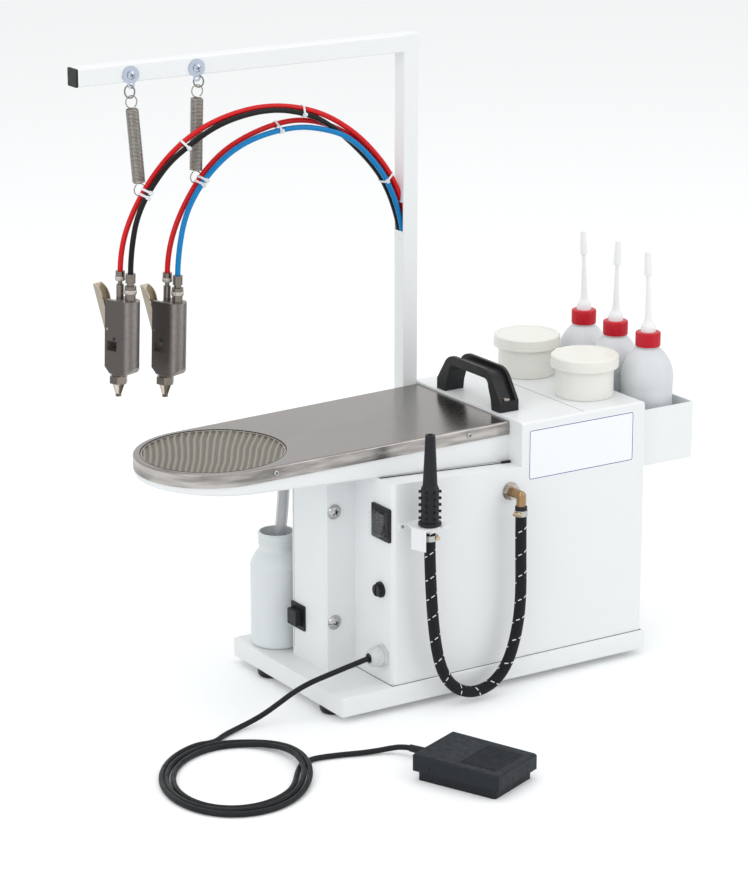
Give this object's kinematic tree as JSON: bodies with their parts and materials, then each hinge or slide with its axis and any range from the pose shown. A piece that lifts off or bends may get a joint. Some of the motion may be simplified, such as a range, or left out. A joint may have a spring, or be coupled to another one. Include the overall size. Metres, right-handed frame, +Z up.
{
  "type": "stain removing station",
  "caption": "Table-top textile stain-removing station: a cabinet with a tapered spotting board and mesh screen, hanging spray guns, blow nozzle, bottle tray and foot pedal.",
  "frame": {"origin": "on the floor under the middle of the base pan", "axes": "+X towards the bottle tray, +Y to the back, +Z up"},
  "size_m": [0.7612, 0.5108, 0.7205],
  "materials": {
    "painted_white": "satin powder coat",
    "stainless": "brushed",
    "zinc_steel": "plated",
    "chrome": "polished",
    "brass": "machined",
    "black_plastic": "satin",
    "black_rubber": "matte",
    "dark_cast": "cast and blasted",
    "ivory_plastic": "moulded",
    "white_plastic": "moulded",
    "red_plastic": "moulded",
    "red_hose": "smooth",
    "blue_hose": "smooth",
    "clear_plastic": "clear",
    "milky_plastic": "translucent",
    "braided_black": "braided with light flecks",
    "grey_plastic": "satin",
    "machinery": "plain",
    "valve_metal": "machined"
  },
  "bodies": {
    "station": {"base_pan": "painted_white", "rubber_feet": "black_rubber", "cabinet_shell": "painted_white", "service_panel": "painted_white", "duct_column": "painted_white", "column_cap_screws": "chrome", "board_pan": "painted_white", "board_top": "stainless", "carry_handle": "black_plastic", "bottle_tray": "painted_white", "mast_frame": "painted_white", "arm_end_plug": "black_plastic", "hanger_bolts": "zinc_steel", "hanger_links": "chrome", "hanger_springs": "zinc_steel", "red_hoses": "red_hose", "black_hose": "black_rubber", "blue_hose": "blue_hose", "gun_body_left": "dark_cast", "gun_body_right": "dark_cast", "gun_hose_fittings": "chrome", "gun_nozzles": "chrome", "outlet_flange": "chrome", "brass_elbow": "brass", "braided_hose": "braided_black", "hose_clamps": "zinc_steel", "blow_nozzle": "black_rubber", "nozzle_nut": "white_plastic", "nozzle_holder": "painted_white", "switch_bezel": "black_plastic", "switch_boot": "clear_plastic", "button_bezel": "black_plastic", "fuse_holder": "black_plastic", "cable_gland": "grey_plastic", "pedal_cord": "black_rubber", "cord_coil": "black_rubber", "pedal_base": "black_plastic", "pedal_pin": "zinc_steel", "pedal_relief": "black_rubber", "waste_bottle": "milky_plastic", "drain_tube": "clear_plastic", "suction_blower": "machinery", "solenoid_valves": "valve_metal"},
    "rocker": {"switch_rocker": "black_plastic"},
    "button": {"push_button": "black_plastic"},
    "fuse": {"fuse_cap": "black_plastic"},
    "lever_left": {"gun_lever_left": "stainless"},
    "lever_right": {"gun_lever_right": "stainless"},
    "treadle": {"pedal_treadle": "black_plastic"},
    "screen": {"mesh_screen": "stainless"},
    "jar_rear": {"jar_rear": "ivory_plastic"},
    "jar_rear_lid": {"jar_rear_lid": "ivory_plastic"},
    "jar_front": {"jar_front": "ivory_plastic"},
    "jar_front_lid": {"jar_front_lid": "ivory_plastic"},
    "bottle_1": {"bottle_1": "milky_plastic"},
    "bottle_cap_1": {"bottle_cap_1": "red_plastic"},
    "bottle_2": {"bottle_2": "milky_plastic"},
    "bottle_cap_2": {"bottle_cap_2": "red_plastic"},
    "bottle_3": {"bottle_3": "milky_plastic"},
    "bottle_cap_3": {"bottle_cap_3": "red_plastic"}
  },
  "joints": [
    {"name": "switch_rock", "type": "hinge", "parent": "station", "child": "rocker", "pos_m": [-0.1415, -0.0946, 0.2177], "axis": [0, -1, 0], "range_deg": [0, 14]},
    {"name": "button_press", "type": "slide", "parent": "station", "child": "button", "axis": [1, 0, 0], "range_m": [0, 0.003], "stiffness_N_per_m": 600, "springref_m": -0.002},
    {"name": "fuse_cap_turn", "type": "hinge", "parent": "station", "child": "fuse", "pos_m": [-0.1415, -0.0925, 0.1386], "axis": [-1, 0, 0], "range_deg": [0, 90]},
    {"name": "pedal_press", "type": "hinge", "parent": "station", "child": "treadle", "pos_m": [-0.18537, -0.29875, 0.0185], "axis": [0.9184, 0.3955, 0], "range_deg": [0, 5], "stiffness_Nm_per_rad": 15, "springref_deg": -1.72},
    {"name": "screen_lift", "type": "slide", "parent": "station", "child": "screen", "axis": [-0.0153, 0, 0.9999], "range_m": [0, 0.04]},
    {"name": "lever_squeeze_left", "type": "hinge", "parent": "station", "child": "lever_left", "pos_m": [-0.37091, 0.09371, 0.43264], "axis": [0.9182, 0.3957, -0.0176], "range_deg": [0, 14], "stiffness_Nm_per_rad": 1.2, "springref_deg": -5.16},
    {"name": "lever_squeeze_right", "type": "hinge", "parent": "station", "child": "lever_right", "pos_m": [-0.31231, 0.09371, 0.42314], "axis": [0.9182, 0.3957, -0.0176], "range_deg": [0, 14], "stiffness_Nm_per_rad": 1.2, "springref_deg": -5.16},
    {"name": "jar_rear_lift", "type": "slide", "parent": "station", "child": "jar_rear", "axis": [0, 0, 1], "range_m": [0, 0.06]},
    {"name": "jar_rear_lid_lift", "type": "slide", "parent": "jar_rear", "child": "jar_rear_lid", "axis": [0, 0, 1], "range_m": [0, 0.03]},
    {"name": "jar_front_lift", "type": "slide", "parent": "station", "child": "jar_front", "axis": [0, 0, 1], "range_m": [0, 0.06]},
    {"name": "jar_front_lid_lift", "type": "slide", "parent": "jar_front", "child": "jar_front_lid", "axis": [0, 0, 1], "range_m": [0, 0.03]},
    {"name": "bottle_1_lift", "type": "slide", "parent": "station", "child": "bottle_1", "axis": [0, 0, 1], "range_m": [0, 0.1]},
    {"name": "bottle_cap_1_turn", "type": "hinge", "parent": "bottle_1", "child": "bottle_cap_1", "pos_m": [0.2445, -0.0667, 0.368], "axis": [0, 0, 1], "continuous": true},
    {"name": "bottle_2_lift", "type": "slide", "parent": "station", "child": "bottle_2", "axis": [0, 0, 1], "range_m": [0, 0.1]},
    {"name": "bottle_cap_2_turn", "type": "hinge", "parent": "bottle_2", "child": "bottle_cap_2", "pos_m": [0.2445, -0.0037, 0.368], "axis": [0, 0, 1], "continuous": true},
    {"name": "bottle_3_lift", "type": "slide", "parent": "station", "child": "bottle_3", "axis": [0, 0, 1], "range_m": [0, 0.1]},
    {"name": "bottle_cap_3_turn", "type": "hinge", "parent": "bottle_3", "child": "bottle_cap_3", "pos_m": [0.2445, 0.0593, 0.368], "axis": [0, 0, 1], "continuous": true}
  ]
}
